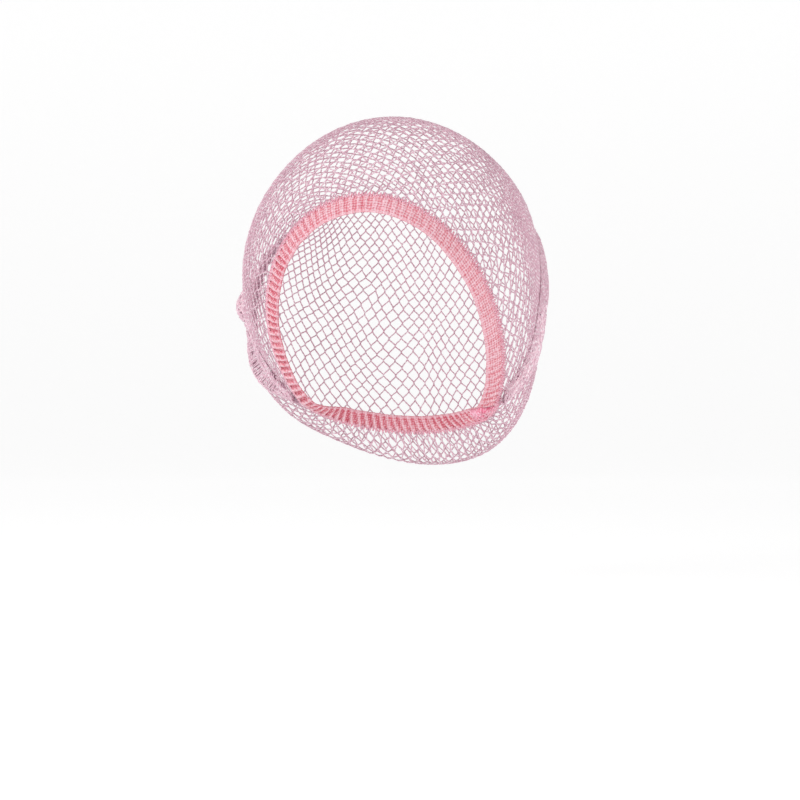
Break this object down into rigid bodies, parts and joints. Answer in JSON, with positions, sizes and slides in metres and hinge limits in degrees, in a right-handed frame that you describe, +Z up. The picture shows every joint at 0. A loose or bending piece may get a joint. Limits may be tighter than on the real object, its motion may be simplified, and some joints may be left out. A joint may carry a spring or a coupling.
{
  "type": "hairnet",
  "caption": "Knitted pink net bag for the hair, in its worn form, with an elastic band round its opening and gathered side seams.",
  "frame": {"origin": "inside of the crown's top, where the net hangs on the hair", "axes": "+Z up, the face side looks to -Y, the wearer's left is +X"},
  "size_m": [0.2063, 0.1983, 0.2184],
  "materials": {
    "net_yarn": "fine matte knitted yarn",
    "band_knit": "ribbed elastic knit",
    "gathered_net": "bunched fine net"
  },
  "bodies": {
    "root": {"crown_net": "net_yarn", "elastic_band": "band_knit", "side_gather_left": "gathered_net", "side_gather_right": "gathered_net", "band_join": "band_knit"}
  },
  "joints": []
}
